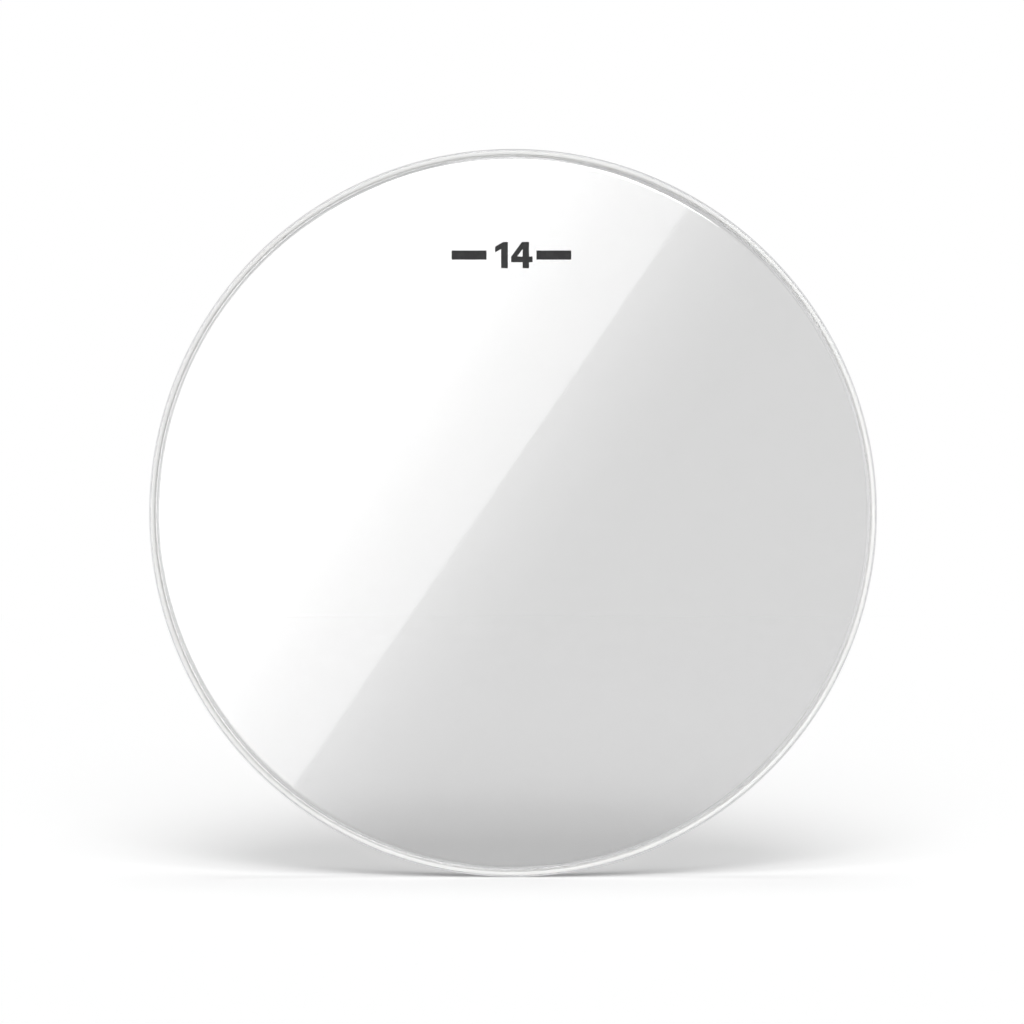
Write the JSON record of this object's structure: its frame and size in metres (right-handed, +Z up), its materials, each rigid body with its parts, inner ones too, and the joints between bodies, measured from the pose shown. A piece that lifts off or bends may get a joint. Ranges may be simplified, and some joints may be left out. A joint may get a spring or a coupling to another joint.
{
  "type": "drum head",
  "caption": "Clear laminated drum head: heat-formed film plies with a bent collar, cast with resin into a rolled aluminium channel hoop that a counterhoop pulls down over a drum shell.",
  "frame": {"origin": "centre of the hoop on the head's axis, half way up the hoop's wall", "axes": "the head stands on its rim: +Z up, +Y along the head's axis towards the drum, so that the playing side faces -Y, and +X to the right as seen from the playing side"},
  "size_m": [0.367, 0.019, 0.367],
  "materials": {
    "hoop_aluminium": "satin, drawn along the hoop",
    "clear_film": "clear, glossy polyester film",
    "cast_resin": "cast, milky translucent"
  },
  "bodies": {
    "root": {"hoop_channel": "hoop_aluminium", "hoop_splice": "hoop_aluminium", "top_ply": "clear_film", "bottom_ply": "clear_film", "resin_bead": "cast_resin"}
  },
  "joints": []
}
